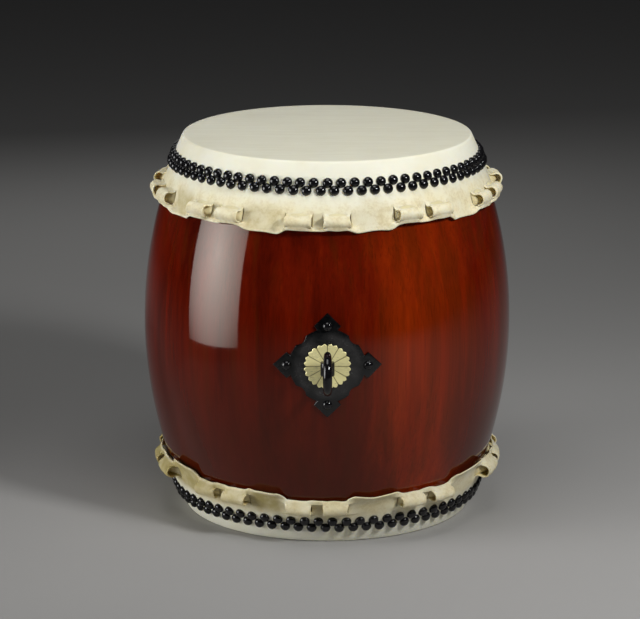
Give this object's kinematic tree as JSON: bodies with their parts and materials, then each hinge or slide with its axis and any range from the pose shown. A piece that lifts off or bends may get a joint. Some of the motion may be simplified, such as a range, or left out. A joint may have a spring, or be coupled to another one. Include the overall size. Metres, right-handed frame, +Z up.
{
  "type": "barrel drum",
  "caption": "Barrel drum with a lacquered hollow wooden body, a tacked hide head with a looped hem at each end, and ring handles that swing on eye pins at the front and rear.",
  "frame": {"origin": "centre of the lower head's face, on the surface that the drum stands on", "axes": "+Z up the drum's axis, -Y towards the front handle, +X to the right seen from the front"},
  "size_m": [0.586, 0.7456, 0.606],
  "materials": {
    "lacquered_wood": "gloss",
    "hide": "matte",
    "black_iron": "gloss",
    "brass": "satin"
  },
  "bodies": {
    "drum": {"body_shell": "lacquered_wood", "top_hide": "hide", "bottom_hide": "hide", "front_seat_plate": "black_iron", "front_chrysanthemum_washer": "brass", "front_eye_pin": "black_iron", "front_nail_upper": "black_iron", "front_nail_lower": "black_iron", "front_nail_left": "black_iron", "front_nail_right": "black_iron", "rear_seat_plate": "black_iron", "rear_chrysanthemum_washer": "brass", "rear_eye_pin": "black_iron", "rear_nail_upper": "black_iron", "rear_nail_lower": "black_iron", "rear_nail_left": "black_iron", "rear_nail_right": "black_iron"},
    "front_handle_ring": {"front_ring": "black_iron"},
    "rear_handle_ring": {"rear_ring": "black_iron"}
  },
  "joints": [
    {"name": "front_ring_swing", "type": "hinge", "parent": "drum", "child": "front_handle_ring", "pos_m": [0, -0.30977, 0.303], "axis": [0, 0, 1], "range_deg": [-85, 85]},
    {"name": "rear_ring_swing", "type": "hinge", "parent": "drum", "child": "rear_handle_ring", "pos_m": [0, 0.30977, 0.303], "axis": [0, 0, 1], "range_deg": [-85, 85]}
  ]
}
